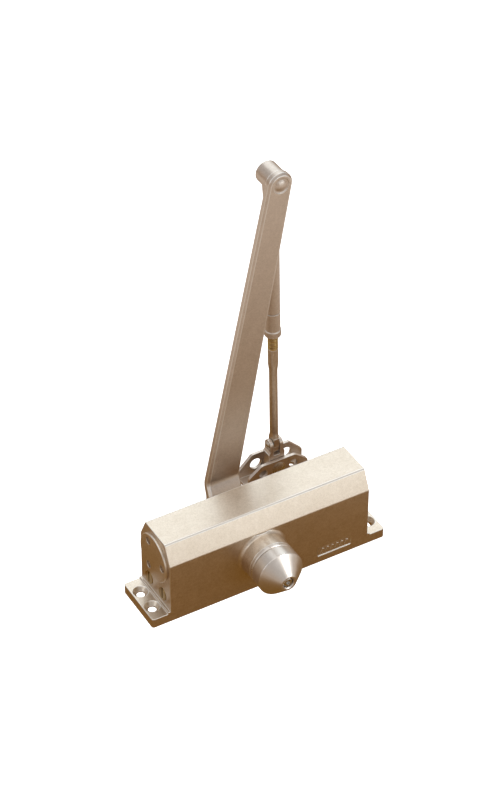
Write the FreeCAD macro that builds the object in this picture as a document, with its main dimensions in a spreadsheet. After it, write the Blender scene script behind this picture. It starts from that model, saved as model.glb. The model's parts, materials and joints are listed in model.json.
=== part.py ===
import FreeCAD, Part
import math
import os
import re
import Sketcher

# Surface-mounted rack-and-pinion door closer with a two-piece arm, in millimetres.
# Origin: centre of the mounting face. +X runs along the body to the spring end,
# +Y runs along the spindle to the arm side, +Z points away from the door.

SIZES = {
    # casting
    "overall_length": 196.6, "body_length": 166.6, "body_width": 44, "body_height": 68.4,
    "shoulder_height": 52.6, "top_width": 28.8, "edge_break": 0.6, "flange_thickness": 8.2,
    "fixing_pitch_long": 182.8, "fixing_pitch_cross": 17.6, "fixing_hole_radius": 3.1,
    "fixing_sink_radius": 5.8, "fixing_sink_depth": 2.8, "fixing_land_bottom": 4.2,
    "core_pocket_half_width": 19, "core_pocket_wall": 2.6, "end_step_width": 2,
    "end_step_height": 1.5,
    # shallow panel for a label, low on the front wall
    "label_middle": 54.5, "label_length": 28.5, "label_foot": 6.4, "label_height": 7.8,
    "label_depth": 0.5,
    # cylinder bore and its two end plugs
    "bore_height": 45.7, "bore_radius": 17, "plug_bore_radius": 18, "plug_bore_depth": 13,
    "plug_length": 12, "plug_head_radius": 19.2, "plug_head_thickness": 2,
    "spanner_circle": 13.3, "spanner_hole_radius": 2.9, "spanner_hole_depth": 3,
    # spindle and its bosses, bearings and nuts
    "spindle_x": -7.3, "spindle_height": 33, "boss_radius": 18.3, "boss_fillet": 3.2,
    "fillet_dip": 0.08, "front_boss_face": 35, "rear_boss_face": 28,
    "cross_bore_radius": 12, "bearing_bore_radius": 14.02, "bearing_radius": 14,
    "journal_radius": 8.5, "running_gap": 0.05, "bearing_length": 7.4, "seal_length": 2,
    "front_nut_radius": 18.2, "front_nut_length": 3, "rear_nut_radius": 16,
    "rear_nut_length": 2.8, "spindle_end_radius": 7.6, "square_size": 10.8,
    # rack and pinion
    "gear_module": 1.5, "tooth_count": 12, "tooth_width": 16, "pressure_angle": 25,
    "backlash": 0.12, "spindle_travel": 160,
    # piston and return spring
    "piston_left": -60, "piston_length": 80, "piston_gap": 0.05, "window_roof": 45.5,
    "window_clearance": 12, "spring_wire_radius": 1.9, "spring_radius": 12.9,
    "spring_turns": 7,
    # regulating valves
    "valve_height": 17.7, "valve_spacing": 20, "valve_radius": 5.2, "valve_length": 24,
    # nose cap
    "cap_radius": 18.3, "cap_start": 38.3, "cap_rim_end": 48.3, "cap_tip": 59.9,
    "cap_tip_radius": 6.3, "cap_recess_radius": 4.2, "cap_recess_depth": 3.5,
    # main arm
    "elbow_x": 42.2, "elbow_height": 300.8, "arm_front": 40.8, "arm_thickness": 5.5,
    "hub_front": 32.5, "hub_thickness": 7, "hub_radius": 13.8, "arm_end_radius": 9.7,
    "joggle_top": 53.5, "joggle_foot": 44.5, "arm_bevel": 1.7, "inner_bend": 5,
    "elbow_rivet_radius": 4, "rivet_seat_radius": 6, "rivet_seat_depth": 0.6,
    "rivet_dome_radius": 4.9,
    # forearm, adjusting rod and shoe
    "forearm_plane": 55.2, "elbow_hub_radius": 8.7, "elbow_hub_front": 46.8,
    "elbow_hub_back": 62, "tube_radius": 5.6, "tube_bore_radius": 4.3, "tube_end": 118.8,
    "bush_end": 134.8, "lock_nut_length": 5.6, "lock_nut_radius": 6.2, "thread_radius": 3.95,
    "thread_start": 92, "thread_end": 167, "taper_end": 173.5, "rod_radius": 3.2,
    "rod_neck": 238, "fork_pin_x": 47.7, "fork_pin_height": 56.5, "fork_pin_radius": 2,
    "eye_thickness": 4.6, "eye_radius": 4.1, "eye_drop": 4.8, "eye_end_radius": 3.1,
    "fork_gap": 5.4, "ear_thickness": 2.8,
    "fork_depth": 8.8, "fork_shoulder": 13.6, "swivel_height": 36.7, "swivel_radius": 3.4,
    "plate_thickness": 2.5, "plate_gap": 9.4, "plate_top": 47.3, "front_plate_top": 44.3,
    "web_bottom": 26.3, "shoe_length": 55, "plate_hole_pitch": 26, "front_plate_hole": 3.6,
    "rear_plate_hole": 4.7, "front_hole_height": 36, "rear_hole_height": 37.6,
    "web_hole_pitch": 30, "web_hole_radius": 2.8,
}

doc = FreeCAD.newDocument("door_closer")
sheet = doc.addObject("Spreadsheet::Sheet", "Sizes")
for row, (alias, value) in enumerate(SIZES.items(), 1):
    sheet.set(f"A{row}", alias)
    sheet.set(f"B{row}", str(value))
    sheet.setAlias(f"B{row}", alias)
doc.recompute()

V = FreeCAD.Vector
ALIASES = re.compile(r"\b(" + "|".join(SIZES) + r")\b")
TURNS = {
    "x": FreeCAD.Rotation(V(0, 1, 0), 90), "-x": FreeCAD.Rotation(V(0, 1, 0), -90),
    "y": FreeCAD.Rotation(V(1, 0, 0), -90), "-y": FreeCAD.Rotation(V(1, 0, 0), 90),
    "z": FreeCAD.Rotation(), "-z": FreeCAD.Rotation(V(1, 0, 0), 180),
}
nodes = []


def size(name):
    return float(getattr(sheet, name))


def bind(item, **properties):
    # Each property follows an expression in the sheet's aliases.
    for name, text in properties.items():
        item.setExpression(name, ALIASES.sub(r"Sizes.\1", str(text)))


def place(item, at, axis="z"):
    item.Placement = FreeCAD.Placement(V(), TURNS[axis])
    for letter, text in zip("xyz", at):
        item.setExpression(f"Placement.Base.{letter}", ALIASES.sub(r"Sizes.\1", str(text)))
    return item


def cylinder(name, axis, at, length, radius):
    item = doc.addObject("Part::Cylinder", name)
    bind(item, Height=length, Radius=radius)
    return place(item, at, axis)


def cone(name, axis, at, length, start_radius, end_radius):
    item = doc.addObject("Part::Cone", name)
    bind(item, Height=length, Radius1=start_radius, Radius2=end_radius)
    return place(item, at, axis)


def box(name, at, length, width, height):
    item = doc.addObject("Part::Box", name)
    bind(item, Length=length, Width=width, Height=height)
    return place(item, at)


def ring(name, axis, at, radius, section_radius):
    item = doc.addObject("Part::Torus", name)
    bind(item, Radius1=radius, Radius2=section_radius)
    return place(item, at, axis)


def dome(name, axis, at, foot_radius, rise):
    # A rivet head: the part of a ball that stands above the plane of its foot.
    foot = size(foot_radius) if foot_radius in SIZES else float(foot_radius)
    ball_radius = (foot ** 2 + rise ** 2) / (2 * rise)
    item = doc.addObject("Part::Sphere", name)
    item.Radius = ball_radius
    item.Angle1 = math.degrees(math.asin((ball_radius - rise) / ball_radius))
    place(item, at, axis)
    shift = TURNS[axis].multVec(V(0, 0, rise - ball_radius))
    for letter, text, move in zip("xyz", at, shift):
        bind(item, **{f"Placement.Base.{letter}": f"{text} + ({move:.6f})"})
    return item


def fuse(name, *items):
    item = doc.addObject("Part::MultiFuse", name)
    item.Shapes = list(items)
    return item


def cut(name, base, *tools):
    # One cut after another, because tools that cross each other don't always fuse well.
    for number, tool in enumerate(tools, 1):
        last = number == len(tools)
        item = doc.addObject("Part::Cut", name if last else f"{name}_cut_{number}")
        item.Base = base
        item.Tool = tool
        base = item
    return base


def common(name, first, second):
    item = doc.addObject("Part::Common", name)
    item.Base = first
    item.Tool = second
    return item


def feature(name, shape):
    item = doc.addObject("Part::Feature", name)
    item.Shape = shape
    return item


def node(label, item):
    item.Label = label
    nodes.append(item)
    return item


def prism(outline, direction):
    # A closed outline of points or edges, swept along a straight line.
    wire = outline if isinstance(outline, Part.Wire) else Part.makePolygon(outline + outline[:1])
    return Part.Face(wire).extrude(direction)


# PartDesign helpers

def origin_plane(body, role):
    return next(o for o in body.Origin.OriginFeatures if o.Role == role)


def sketch_on(body, role, name):
    sketch = body.newObject("Sketcher::SketchObject", name)
    sketch.AttachmentSupport = (origin_plane(body, role), "")
    sketch.MapMode = "FlatFace"
    return sketch


def fix_point(sketch, element, position, x, y):
    for kind, text in (("DistanceX", x), ("DistanceY", y)):
        number = sketch.addConstraint(Sketcher.Constraint(kind, -1, 1, element, position, 1.0))
        bind(sketch, **{f"Constraints[{number}]": text})


def sketch_polygon(sketch, corners):
    count = len(corners)
    first = sketch.GeometryCount
    spots = [V(math.cos(2 * math.pi * i / count), math.sin(2 * math.pi * i / count), 0)
             for i in range(count)]
    for i in range(count):
        sketch.addGeometry(Part.LineSegment(spots[i], spots[(i + 1) % count]), False)
    for i in range(count):
        after = first + (i + 1) % count
        sketch.addConstraint(Sketcher.Constraint("Coincident", first + i, 2, after, 1))
    for i, (x, y) in enumerate(corners):
        fix_point(sketch, first + i, 1, x, y)


def pad(body, sketch, length, midplane=False, reverse=False):
    item = body.newObject("PartDesign::Pad", sketch.Name + "_pad")
    item.Profile = sketch
    item.Midplane = midplane
    item.Reversed = reverse
    bind(item, Length=length)
    return item


# Casting

def casting_shell():
    body = doc.addObject("PartDesign::Body", "casting_shell")
    section = sketch_on(body, "YZ_Plane", "casting_section")
    half, top = "body_width / 2", "top_width / 2"
    soft = "edge_break"
    side = [(half, "0"), (half, f"shoulder_height - {soft}"),
            (f"{half} - {soft} / 2", f"shoulder_height + {soft}"),
            (f"{top} + {soft} / 2", f"body_height - {soft}"), (f"{top} - {soft}", "body_height")]
    mirrored = [(f"-({y})", z) for y, z in reversed(side)]
    sketch_polygon(section, side + mirrored)
    pad(body, section, "body_length", midplane=True)
    doc.recompute()
    return body


def flange_plate():
    body = doc.addObject("PartDesign::Body", "flange_plate")
    outline = sketch_on(body, "XY_Plane", "flange_outline")
    along, across = "overall_length / 2", "body_width / 2"
    corners = [(f"-{along}", f"-{across}"), (along, f"-{across}"), (along, across),
               (f"-{along}", across)]
    sketch_polygon(outline, corners)
    plate = pad(body, outline, "flange_thickness")
    doc.recompute()
    upright = [f"Edge{i}" for i, edge in enumerate(plate.Shape.Edges, 1)
               if abs(edge.tangentAt(edge.FirstParameter).z) > 0.9]
    rounded = body.newObject("PartDesign::Fillet", "flange_corners")
    rounded.Base = (plate, upright)
    rounded.Radius = 2
    doc.recompute()
    return body


def spindle_boss(side, sign):
    # A round barrel with a hollow fillet where it meets the wall, kept below the shoulder.
    # The fillet's circle dips a little into wall and barrel, so that nothing only touches.
    axis = "y" if sign > 0 else "-y"
    mark = "" if sign > 0 else "-"
    middle = ("spindle_x", "0", "spindle_height")
    barrel = cylinder(f"{side}_boss_barrel", axis, middle, f"{side}_boss_face", "boss_radius")
    out, away = "boss_radius + boss_fillet - fillet_dip", "boss_fillet - fillet_dip"
    foot = cylinder(f"{side}_boss_foot", axis, middle, f"body_width / 2 + {away}", out)
    hollow = ring(f"{side}_boss_hollow", axis,
                  ("spindle_x", f"{mark}(body_width / 2 + {away})", "spindle_height"), out,
                  "boss_fillet")
    reach = "boss_radius + boss_fillet + 1"
    below = box(f"{side}_boss_limit", (f"spindle_x - ({reach})", "-60", "0"), f"2 * ({reach})",
                "120", "shoulder_height - edge_break")
    trimmed = common(f"{side}_boss_trimmed", cut(f"{side}_boss_fillet", foot, hollow), below)
    return fuse(f"{side}_boss", barrel, trimmed)


def end_steps():
    # A low ledge along the foot of each end face.
    steps = []
    for name, start in (("left", "-body_length / 2 - end_step_width"),
                        ("right", "body_length / 2 - 1")):
        steps.append(box(f"{name}_end_step", (start, "-body_width / 2", "flange_thickness - 1"),
                         "end_step_width + 1", "body_width", "end_step_height + 1"))
    return steps


def fixing_holes():
    tools = []
    for end in (-1, 1):
        for side in (-1, 1):
            at = (f"{end} * fixing_pitch_long / 2", f"{side} * fixing_pitch_cross / 2")
            name = f"fixing_{'left' if end < 0 else 'right'}_{'front' if side < 0 else 'rear'}"
            tools.append(cylinder(name, "z", at + ("-1",), "flange_thickness + 2",
                                  "fixing_hole_radius"))
            sink_foot = "flange_thickness - fixing_sink_depth"
            tools.append(cone(name + "_sink", "z", at + (sink_foot,), "fixing_sink_depth + 0.01",
                              "fixing_hole_radius", "fixing_sink_radius"))
    return tools


def core_pockets():
    # Each flange is cored out below its holes, which leaves a thin land round them.
    half = "core_pocket_half_width"
    long = "overall_length / 2 - body_length / 2 - core_pocket_wall"
    pockets = []
    for name, start in (("left", "-overall_length / 2 + core_pocket_wall"),
                        ("right", "body_length / 2")):
        pockets.append(box(f"{name}_core_pocket", (start, f"-{half}", "-1"), long, f"2 * {half}",
                           "fixing_land_bottom + 1"))
    return pockets


def label_panel():
    return box("label_panel", ("label_middle - label_length / 2", "-body_width / 2 - 1",
                               "label_foot"), "label_length", "label_depth + 1", "label_height")


def bore_tools():
    tools = [cylinder("main_bore", "x", ("-body_length / 2 - 1", "0", "bore_height"),
                      "body_length + 2", "bore_radius")]
    for name, start in (("left", "-body_length / 2 - 1"),
                        ("right", "body_length / 2 - plug_bore_depth")):
        tools.append(cylinder(f"{name}_plug_bore", "x", (start, "0", "bore_height"),
                              "plug_bore_depth + 1", "plug_bore_radius"))
    tools.append(cylinder("cross_bore", "y", ("spindle_x", "-26", "spindle_height"), "46",
                          "cross_bore_radius"))
    tools.append(cylinder("front_bearing_bore", "-y", ("spindle_x", "-24", "spindle_height"),
                          "front_boss_face - 24 + 1", "bearing_bore_radius"))
    tools.append(cylinder("rear_bearing_bore", "y", ("spindle_x", "17.3", "spindle_height"),
                          "rear_boss_face - 17.3 + 1", "bearing_bore_radius"))
    for name, side in (("sweep", -1), ("latch", 1)):
        across = f"{side} * valve_spacing / 2"
        tools.append(cylinder(f"{name}_valve_bore", "x",
                              ("-body_length / 2 - 1", across, "valve_height"),
                              "valve_length + 1", "valve_radius + 0.02"))
        tools.append(cylinder(f"{name}_oil_way", "x",
                              ("-body_length / 2 + valve_length - 1", across, "valve_height"),
                              "14", "1.4"))
        tools.append(cylinder(f"{name}_oil_port", "z",
                              ("-body_length / 2 + valve_length + 10", across, "valve_height"),
                              "20", "1.4"))
    return tools


def make_casting():
    solid = fuse("casting_solid", casting_shell(), flange_plate(),
                 spindle_boss("front", -1), spindle_boss("rear", 1), *end_steps())
    tools = bore_tools() + fixing_holes() + core_pockets() + [label_panel()]
    node("closer_body", cut("closer_body", solid, *tools))


# End plugs

def make_end_plug(side, sign):
    axis = "x" if sign > 0 else "-x"
    mark = "" if sign > 0 else "-"
    face = f"{mark}body_length / 2"
    head = cylinder(f"{side}_plug_head", axis, (face, "0", "bore_height"),
                    "plug_head_thickness - 0.5", "plug_head_radius")
    rim = cone(f"{side}_plug_rim", axis,
               (f"{face} + ({sign}) * (plug_head_thickness - 0.5)", "0", "bore_height"),
               "0.5", "plug_head_radius", "plug_head_radius - 0.5")
    neck = cylinder(f"{side}_plug_neck", axis,
                    (f"{face} - ({sign}) * plug_length", "0", "bore_height"),
                    "plug_length", "plug_bore_radius - 0.05")
    groove = ring(f"{side}_plug_groove", axis,
                  (f"{face} - ({sign}) * (plug_length - 3)", "0", "bore_height"),
                  "plug_bore_radius - 1.1", "1.25")
    hollow = cylinder(f"{side}_plug_hollow", axis,
                      (f"{face} - ({sign}) * (plug_length + 1)", "0", "bore_height"),
                      "plug_length - 4", "11")
    holes = []
    for number, angle in enumerate((180, 60, -60), 1):
        across = f"spanner_circle * cos({angle})"
        upward = f"bore_height + spanner_circle * sin({angle})"
        start = f"{face} + ({sign}) * (plug_head_thickness - spanner_hole_depth)"
        holes.append(cylinder(f"{side}_spanner_hole_{number}", axis, (start, across, upward),
                              "spanner_hole_depth + 1", "spanner_hole_radius"))
    plug = fuse(f"{side}_plug_solid", head, rim, neck)
    node(f"{side}_end_plug", cut(f"{side}_end_plug", plug, groove, hollow, *holes))
    node(f"{side}_plug_ring",
         ring(f"{side}_plug_ring", axis,
              (f"{face} - ({sign}) * (plug_length - 3)", "0", "bore_height"),
              "plug_bore_radius - 1.1", "1.05"))


# Bearings, seals and nuts on the spindle

def make_bearing_set(side, sign):
    axis = "y" if sign > 0 else "-y"
    face = f"{side}_boss_face"
    inner = "journal_radius + running_gap"

    def at(depth):
        return ("spindle_x", f"({sign}) * ({depth})", "spindle_height")

    seal_start = f"{face} - 0.8 - seal_length"
    bearing_start = f"{seal_start} - 0.2 - bearing_length"
    bearing = cut(f"{side}_bearing",
                  cylinder(f"{side}_bearing_outer", axis, at(bearing_start), "bearing_length",
                           "bearing_radius"),
                  cylinder(f"{side}_bearing_inner", axis, at(f"{bearing_start} - 1"),
                           "bearing_length + 2", inner))
    node(f"{side}_bearing", bearing)
    seal = cut(f"{side}_shaft_seal",
               cylinder(f"{side}_seal_outer", axis, at(seal_start), "seal_length",
                        "bearing_radius"),
               cylinder(f"{side}_seal_inner", axis, at(f"{seal_start} - 1"), "seal_length + 2",
                        inner))
    node(f"{side}_shaft_seal", seal)
    flange = f"{side}_nut_radius"
    deep = f"{side}_nut_length"
    nut = fuse(f"{side}_nut_solid",
               cylinder(f"{side}_nut_spigot", axis, at(f"{face} - 0.6"), "1", "bearing_radius"),
               cylinder(f"{side}_nut_flange", axis, at(face), f"{deep} - 0.6", flange),
               cone(f"{side}_nut_rim", axis, at(f"{face} + {deep} - 0.6"), "0.6", flange,
                    f"{flange} - 0.6"))
    node(f"{side}_bearing_nut",
         cut(f"{side}_bearing_nut", nut,
             cylinder(f"{side}_nut_bore", axis, at(f"{face} - 2"), f"{deep} + 4", inner)))


# Rack and pinion

def pinion_outline():
    # Involute teeth, thinned by the backlash; the first tooth points along +Z.
    module, count = size("gear_module"), int(size("tooth_count"))
    pitch = module * count / 2
    slope = math.radians(size("pressure_angle"))
    base = pitch * math.cos(slope)
    tip, root = pitch + 0.8 * module, pitch - 1.1 * module
    half_tooth = math.pi / (2 * count) - size("backlash") / (2 * pitch)
    at_pitch = math.tan(slope) - slope
    flank = [(root, half_tooth + at_pitch)]
    steps = 5
    for i in range(steps + 1):
        radius = base + (tip - base) * i / steps
        turn = math.acos(min(1.0, base / radius))
        flank.append((radius, half_tooth + at_pitch - (math.tan(turn) - turn)))
    points = []
    for tooth in range(count):
        middle = 2 * math.pi * tooth / count
        for radius, angle in flank:
            points.append(V(radius * math.sin(middle - angle), 0,
                            radius * math.cos(middle - angle)))
        for radius, angle in reversed(flank):
            points.append(V(radius * math.sin(middle + angle), 0,
                            radius * math.cos(middle + angle)))
    return points


def rack_outline(left, right):
    # Straight-sided teeth that hang from the window's roof, with a space over the spindle.
    module = size("gear_module")
    pitch_line = size("spindle_height") + module * size("tooth_count") / 2
    tooth_pitch = math.pi * module
    slope = math.tan(math.radians(size("pressure_angle")))
    tip, root = pitch_line - 0.8 * module, pitch_line + 1.1 * module
    half_pitch = tooth_pitch / 4 - size("backlash") / 2
    half_tip = half_pitch - 0.8 * module * slope
    half_root = half_pitch + 1.1 * module * slope
    roof = size("window_roof") + 1
    points = [V(left, 0, roof), V(left, 0, root)]
    first = math.ceil((left - size("spindle_x")) / tooth_pitch - 0.5 + 0.35)
    last = math.floor((right - size("spindle_x")) / tooth_pitch - 0.5 - 0.35)
    for number in range(first, last + 1):
        middle = size("spindle_x") + (number + 0.5) * tooth_pitch
        points += [V(middle - half_root, 0, root), V(middle - half_tip, 0, tip),
                   V(middle + half_tip, 0, tip), V(middle + half_root, 0, root)]
    return points + [V(right, 0, root), V(right, 0, roof)]


def arm_turn():
    across = size("elbow_x") - size("spindle_x")
    upward = size("elbow_height") - size("spindle_height")
    return math.degrees(math.atan2(across, upward))


def square_bar(start, length, width):
    # A square bar on the spindle's axis, its flats in line with the main arm.
    bar = Part.makeBox(width, length, width, V(-width / 2, start, -width / 2))
    bar.rotate(V(), V(0, 1, 0), arm_turn())
    bar.translate(V(size("spindle_x"), 0, size("spindle_height")))
    return bar


def on_spindle(start, length, radius):
    return Part.makeCylinder(radius, length, V(size("spindle_x"), start, size("spindle_height")),
                             V(0, 1, 0))


def make_pinion_shaft():
    wide = size("tooth_width")
    gear = prism(pinion_outline(), V(0, wide, 0))
    gear.translate(V(size("spindle_x"), -wide / 2, size("spindle_height")))
    front, rear = size("front_boss_face"), size("rear_boss_face")
    journal = size("journal_radius")
    shaft_front = size("cap_rim_end") + 2.2
    shaft_rear = size("hub_front") + size("hub_thickness") - 0.2
    pieces = [on_spindle(-(front - 0.7), front - 0.7 - wide / 2, journal),
              on_spindle(wide / 2, rear - 0.7 - wide / 2, journal),
              on_spindle(-(size("cap_start") + 1.7), size("cap_start") + rear + 3,
                         size("spindle_end_radius")),
              square_bar(-shaft_front, shaft_front - front, size("square_size")),
              square_bar(rear + 1, shaft_rear - rear - 1, size("square_size"))]
    shaft = gear.fuse(pieces)
    taps = [on_spindle(-shaft_front - 1, 12, 2.52), on_spindle(shaft_rear - 15, 16, 4.0)]
    node("pinion_shaft", feature("pinion_shaft", shaft.cut(taps).removeSplitter()))


def make_piston():
    radius = size("bore_radius") - size("piston_gap")
    start, long = size("piston_left"), size("piston_length")
    axis_height = size("bore_height")
    travel = math.radians(size("spindle_travel")) * size("gear_module") * size("tooth_count") / 2
    left = size("spindle_x") - travel - size("window_clearance")
    right = size("spindle_x") + size("window_clearance")
    roof = size("window_roof")
    block = Part.makeCylinder(radius, long, V(start, 0, axis_height), V(1, 0, 0))
    window = Part.makeBox(right - left, 2 * radius + 2, roof - axis_height + radius + 2,
                          V(left, -radius - 1, axis_height - radius - 2))
    wide = size("tooth_width") - 1
    rack = prism(rack_outline(left - 0.5, right + 0.5), V(0, wide, 0))
    rack.translate(V(0, -wide / 2, 0))
    ring_groove = Part.makeCylinder(radius + 1, 3.2, V(start + 4, 0, axis_height), V(1, 0, 0))
    ring_groove = ring_groove.cut(Part.makeCylinder(radius - 2, 3.2, V(start + 4, 0, axis_height),
                                                    V(1, 0, 0)))
    valve_bore = Part.makeCylinder(4.02, 7.02, V(start - 0.02, 0, axis_height + 4), V(1, 0, 0))
    oil_way = Part.makeCylinder(1.6, 30, V(start, 0, axis_height + 4), V(1, 0, 0))
    spring_seat = Part.makeCylinder(15.2, 3, V(start + long - 3, 0, axis_height), V(1, 0, 0))
    spring_stem = Part.makeCylinder(10.2, 3, V(start + long - 3, 0, axis_height), V(1, 0, 0))
    shape = block.cut(window).fuse(rack)
    shape = shape.cut([ring_groove, valve_bore, oil_way, spring_seat.cut(spring_stem)])
    node("piston", feature("piston", shape.removeSplitter()))
    ring_shape = Part.makeCylinder(radius, 3, V(start + 4.1, 0, axis_height), V(1, 0, 0))
    ring_shape = ring_shape.cut(Part.makeCylinder(radius - 1.95, 3,
                                                  V(start + 4.1, 0, axis_height), V(1, 0, 0)))
    node("piston_ring", feature("piston_ring", ring_shape))
    seat = Part.makeCylinder(4, 3, V(start, 0, axis_height + 4), V(1, 0, 0))
    seat = seat.cut(Part.makeCylinder(1.5, 5, V(start - 1, 0, axis_height + 4), V(1, 0, 0)))
    node("check_valve_seat", feature("check_valve_seat", seat))
    ball = Part.makeSphere(1.9, V(start + 5, 0, axis_height + 4))
    node("check_valve_ball", feature("check_valve_ball", ball))


def make_return_spring():
    # Coil from the piston's seat to the right plug, both ends a little clear of the metal.
    wire = size("spring_wire_radius")
    start = size("piston_left") + size("piston_length") - 3 + wire + 0.15
    end = size("body_length") / 2 - size("plug_length") - wire - 0.15
    turns = size("spring_turns")
    path = Part.makeHelix((end - start) / turns, end - start, size("spring_radius"))
    profile = Part.Wire(Part.makeCircle(wire, V(size("spring_radius"), 0, 0), V(0, 1, 0)))
    coil = Part.Wire(path).makePipeShell([profile], True, True)
    coil.rotate(V(), V(0, 1, 0), 90)
    coil.translate(V(start, 0, size("bore_height")))
    node("return_spring", feature("return_spring", coil))


# Regulating valves

def make_valve(name, side):
    left = "-body_length / 2"
    across = f"({side}) * valve_spacing / 2"

    def at(depth):
        return (f"{left} + {depth}", across, "valve_height")

    head = cylinder(f"{name}_head", "x", at(-0.4), "4.4", "valve_radius")
    collar = cylinder(f"{name}_collar", "x", at(6), "8", "valve_radius")
    stem = cylinder(f"{name}_stem", "x", at(3), "17", "2.6")
    needle = cone(f"{name}_needle", "x", at(20), "3.6", "2.6", "0.8")
    slot = box(f"{name}_slot",
               (f"{left} - 1", f"{across} - 0.6", "valve_height - valve_radius - 1"), "2.2",
               "1.2", "2 * valve_radius + 2")
    node(name, cut(name, fuse(f"{name}_solid", head, collar, stem, needle), slot))
    seal = cut(f"{name}_ring", cylinder(f"{name}_ring_outer", "x", at(4.1), "1.8", "valve_radius"),
               cylinder(f"{name}_ring_inner", "x", at(3), "4", "2.65"))
    node(f"{name}_ring", seal)


# Nose cap

def make_cap():
    def at(depth):
        return ("spindle_x", f"-({depth})", "spindle_height")

    shell = fuse("cap_solid",
                 cylinder("cap_band", "-y", at("cap_start + 0.5"),
                          "cap_rim_end - cap_start - 0.5", "cap_radius"),
                 cone("cap_lip", "-y", at("cap_start"), "0.5", "cap_radius - 0.5", "cap_radius"),
                 cone("cap_cone", "-y", at("cap_rim_end"), "cap_tip - cap_rim_end", "cap_radius",
                      "cap_tip_radius"))
    hollow = cylinder("cap_hollow", "-y", at("cap_start - 1"), "cap_rim_end - cap_start - 0.5",
                      "15")
    socket = cylinder("cap_socket", "-y", at("cap_start - 1"),
                      "cap_rim_end + 2.2 - cap_start + 1", "7.9")
    hole = cylinder("cap_hole", "-y", at("cap_rim_end"), "12", "2.7")
    recess = cylinder("cap_recess", "-y", at("cap_tip - cap_recess_depth"),
                      "cap_recess_depth + 1", "cap_recess_radius")
    mouth = cone("cap_mouth", "-y", at("cap_tip - 0.8"), "0.81", "cap_recess_radius",
                 "cap_recess_radius + 0.8")
    node("pinion_cap", cut("pinion_cap", shell, hollow, socket, hole, recess, mouth))
    head = cylinder("cap_screw_head", "-y", at("cap_tip - cap_recess_depth"), "1.9", "3.8")
    crown = cone("cap_screw_crown", "-y", at("cap_tip - cap_recess_depth + 1.9"), "0.5", "3.8",
                 "3.2")
    stem = cylinder("cap_screw_stem", "-y", at("cap_rim_end - 5"),
                    "cap_tip - cap_recess_depth - cap_rim_end + 5.5", "2.5")
    socket = cylinder("cap_screw_socket", "-y", at("cap_tip - cap_recess_depth + 0.8"), "3", "1.6")
    node("cap_screw", cut("cap_screw", fuse("cap_screw_solid", head, crown, stem), socket))


# Main arm

def hull_wire(first, first_radius, second, second_radius, depth):
    # The outline round two circles in the plane y = depth, with straight tangent sides.
    span = second - first
    reach = span.Length
    along = V(span).normalize()
    side = V(along.z, 0, -along.x)
    lean = (first_radius - second_radius) / reach
    rise = math.sqrt(1 - lean ** 2)
    right = along * lean + side * rise
    left = along * lean - side * rise
    lift = V(0, depth, 0)
    a, b = first + right * first_radius + lift, second + right * second_radius + lift
    c, d = second + left * second_radius + lift, first + left * first_radius + lift
    top, bottom = second + along * second_radius + lift, first - along * first_radius + lift
    edges = [Part.LineSegment(a, b), Part.Arc(b, top, c), Part.LineSegment(c, d),
             Part.Arc(d, bottom, a)]
    return Part.Wire([edge.toShape() for edge in edges])


def make_main_arm():
    hub = V(size("spindle_x"), 0, size("spindle_height"))
    elbow = V(size("elbow_x"), 0, size("elbow_height"))
    front, back = size("arm_front"), size("arm_front") + size("arm_thickness")
    low_front, low_back = size("hub_front"), size("hub_front") + size("hub_thickness")
    outline = prism(hull_wire(hub, size("hub_radius"), elbow, size("arm_end_radius"),
                              low_front - 5), V(0, back - low_front + 10, 0))
    top, foot = size("joggle_top"), size("joggle_foot")
    far_left, far_right = size("spindle_x") - 60, size("elbow_x") + 60
    side_view = [V(far_left, front, 400), V(far_left, back, 400), V(far_left, back, top - 1.5),
                 V(far_left, low_back, foot - 1), V(far_left, low_back, 0),
                 V(far_left, low_front, 0), V(far_left, low_front, foot),
                 V(far_left, front, top)]
    bar = prism(side_view, V(far_right - far_left, 0, 0))
    inner = size("inner_bend")
    outer = inner + size("arm_thickness")
    for corner, radius in ((side_view[7], inner), (side_view[2], outer),
                           (side_view[6], outer), (side_view[3], inner)):
        bend = [edge for edge in bar.Edges if edge.distToShape(Part.Vertex(corner))[0] < 0.01
                and edge.BoundBox.XLength > 1]
        bar = bar.makeFillet(radius, bend)
    arm = outline.common(bar)
    bevelled = [edge for edge in arm.Edges
                if edge.BoundBox.YMax < front + 0.01 and edge.BoundBox.YMin > front - 0.01
                and edge.BoundBox.ZMax > top + 20]
    arm = arm.makeChamfer(size("arm_bevel"), bevelled)
    square = square_bar(low_front - 1, low_back - low_front + 2, size("square_size") + 0.04)
    rivet_hole = Part.makeCylinder(size("elbow_rivet_radius") + 0.02, 30,
                                   elbow + V(0, front - 5, 0), V(0, 1, 0))
    rivet_seat = Part.makeCylinder(size("rivet_seat_radius"), 5 + size("rivet_seat_depth"),
                                   elbow + V(0, front - 5, 0), V(0, 1, 0))
    node("main_arm", feature("main_arm", arm.cut([square, rivet_hole, rivet_seat])))


def make_arm_fixing():
    clamp = "hub_front + hub_thickness"

    def at(depth):
        return ("spindle_x", f"{clamp} + {depth}", "spindle_height")

    washer = cut("arm_washer", cylinder("arm_washer_outer", "y", at(0), "1.5", "9"),
                 cylinder("arm_washer_hole", "y", at(-1), "4", "4.2"))
    node("arm_washer", washer)
    hexagon = doc.addObject("Part::Prism", "arm_screw_hexagon")
    hexagon.Polygon = 6
    bind(hexagon, Circumradius="7.5", Height="5")
    place(hexagon, at(1.5), "y")
    crown = cone("arm_screw_crown", "y", at(1.5), "5", "11.5", "6.5")
    stem = cylinder("arm_screw_stem", "y", at(-12), "14", "3.95")
    node("arm_screw", fuse("arm_screw", common("arm_screw_head", hexagon, crown), stem))


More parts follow.
